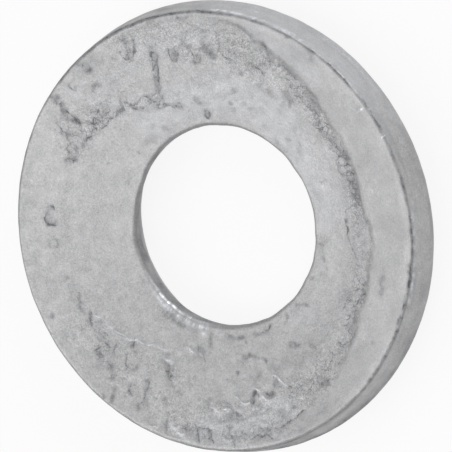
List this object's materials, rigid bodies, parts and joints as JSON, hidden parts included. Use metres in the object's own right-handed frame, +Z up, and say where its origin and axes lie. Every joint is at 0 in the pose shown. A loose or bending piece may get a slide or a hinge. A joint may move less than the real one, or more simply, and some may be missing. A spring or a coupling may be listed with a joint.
{
  "type": "conical spring washer",
  "caption": "Thick dished steel safety washer with a rounded back edge and a round bore, hot-dip galvanised.",
  "frame": {"origin": "on the washer's axis, at the lowest ring of the back end of its bore, on which it lies", "axes": "+Z up along the axis, from the bulging back face to the hollow front face; X and Y across"},
  "size_m": [0.0388, 0.0388, 0.0057],
  "materials": {
    "galvanised_steel": "hot-dip galvanised zinc, dull and blotchy, with runs, pits and a few bright beads along the edges"
  },
  "bodies": {
    "root": {"washer": "galvanised_steel"}
  },
  "joints": []
}
